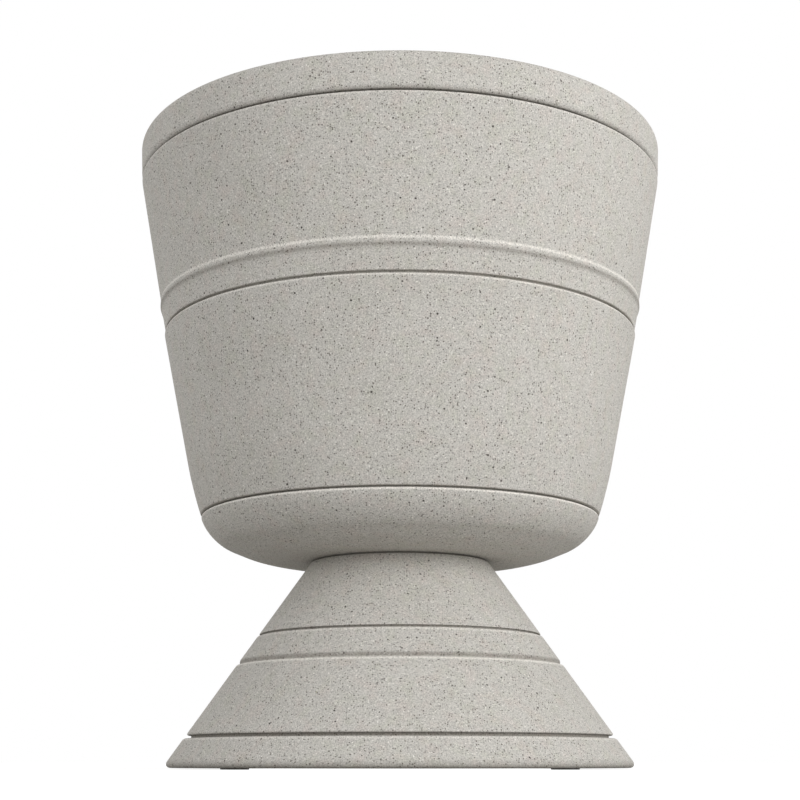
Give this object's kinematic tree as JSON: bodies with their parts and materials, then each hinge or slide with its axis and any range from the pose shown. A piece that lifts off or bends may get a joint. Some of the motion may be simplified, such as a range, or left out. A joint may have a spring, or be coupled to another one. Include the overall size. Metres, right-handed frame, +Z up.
{
  "type": "urn planter",
  "caption": "Round cast-stone urn planter: tapered bowl with a raised band and rim on a hollow conical pedestal, bolted through its drain.",
  "frame": {"origin": "on the floor, at the centre of the pedestal's foot", "axes": "+Z up along the axis that bowl and pedestal share; the four foot pads lie between the X and Y axes"},
  "size_m": [0.5058, 0.5058, 0.5925],
  "materials": {
    "cast_stone": "honed fine-grained cast limestone",
    "bedding": "grey flexible bedding",
    "steel": "satin stainless",
    "rubber": "matt black moulded rubber",
    "strainer": "moulded polypropylene"
  },
  "bodies": {
    "planter": {"bowl": "cast_stone", "pedestal": "cast_stone", "bed_joint": "bedding", "drain_fitting": "steel", "flange_gasket": "rubber", "clamp_gasket": "rubber", "clamp_washer": "steel", "lock_nut": "steel", "foot_pad_1": "rubber", "foot_pad_2": "rubber", "foot_pad_3": "rubber", "foot_pad_4": "rubber"},
    "strainer": {"drain_strainer": "strainer"},
    "plug": {"drain_plug": "rubber"}
  },
  "joints": [
    {"name": "strainer_lift", "type": "slide", "parent": "planter", "child": "strainer", "axis": [0, 0, 1], "range_m": [0, 0.42]},
    {"name": "plug_pull", "type": "slide", "parent": "planter", "child": "plug", "axis": [0, 0, -1], "range_m": [0, 0.07]}
  ]
}
